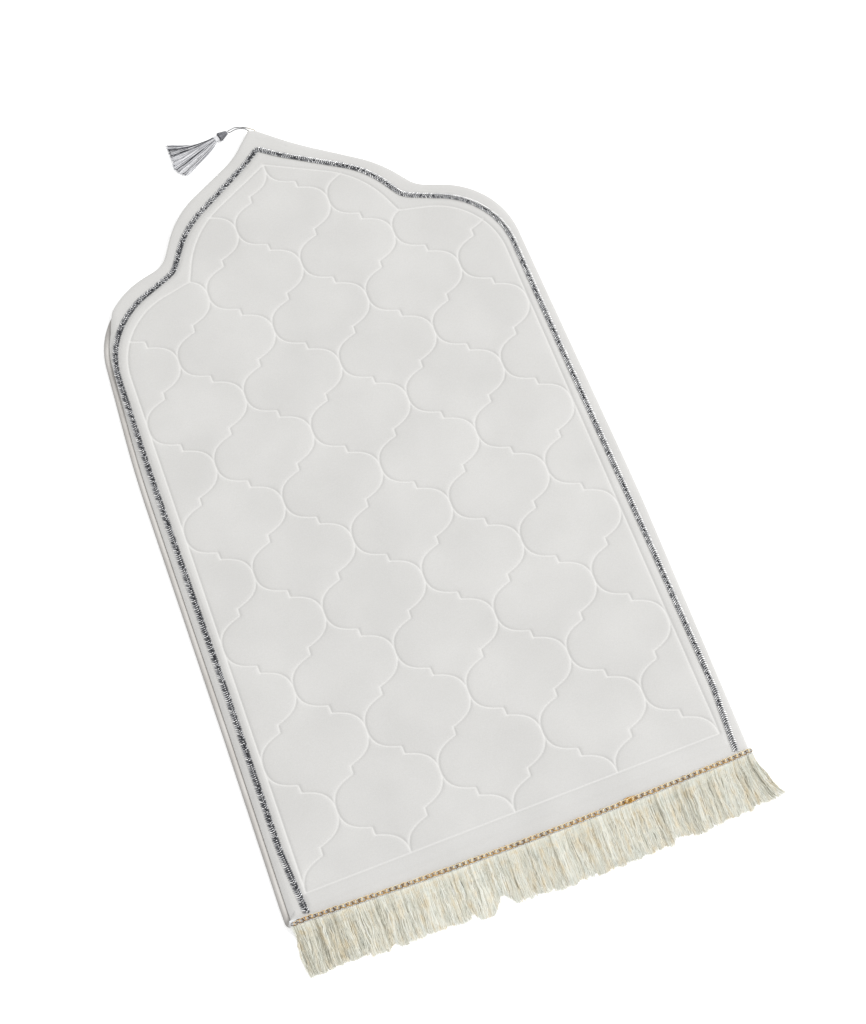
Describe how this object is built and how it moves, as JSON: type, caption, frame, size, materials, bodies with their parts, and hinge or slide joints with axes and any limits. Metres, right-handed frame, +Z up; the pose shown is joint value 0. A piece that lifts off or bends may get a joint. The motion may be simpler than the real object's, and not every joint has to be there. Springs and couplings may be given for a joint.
{
  "type": "prayer rug",
  "caption": "Padded prayer rug with an arched, pointed end, pressed trellis quilting, silver and gold braid, a fringe along the straight end and a small tassel on a loop at the point",
  "frame": {"origin": "on the underside that rests on the floor, at the middle of the padded panel's plan", "axes": "+Y along the rug to the point of the arch, +X across it to the right, +Z up"},
  "size_m": [0.6679, 1.2376, 0.0161],
  "materials": {
    "velour": "short-pile velour, soft sheen",
    "base_cloth": "matt knitted cloth",
    "silver_braid": "metallic thread braid",
    "gold_chain": "metallic thread chain braid",
    "fringe_yarn": "soft satin yarn",
    "tassel_thread": "satin thread",
    "loop_cord": "thin twisted cord"
  },
  "bodies": {
    "root": {"pad": "velour", "base": "base_cloth", "braid": "silver_braid", "chain_braid": "gold_chain", "fringe": "fringe_yarn", "tassel": "tassel_thread", "tassel_loop": "loop_cord"}
  },
  "joints": []
}
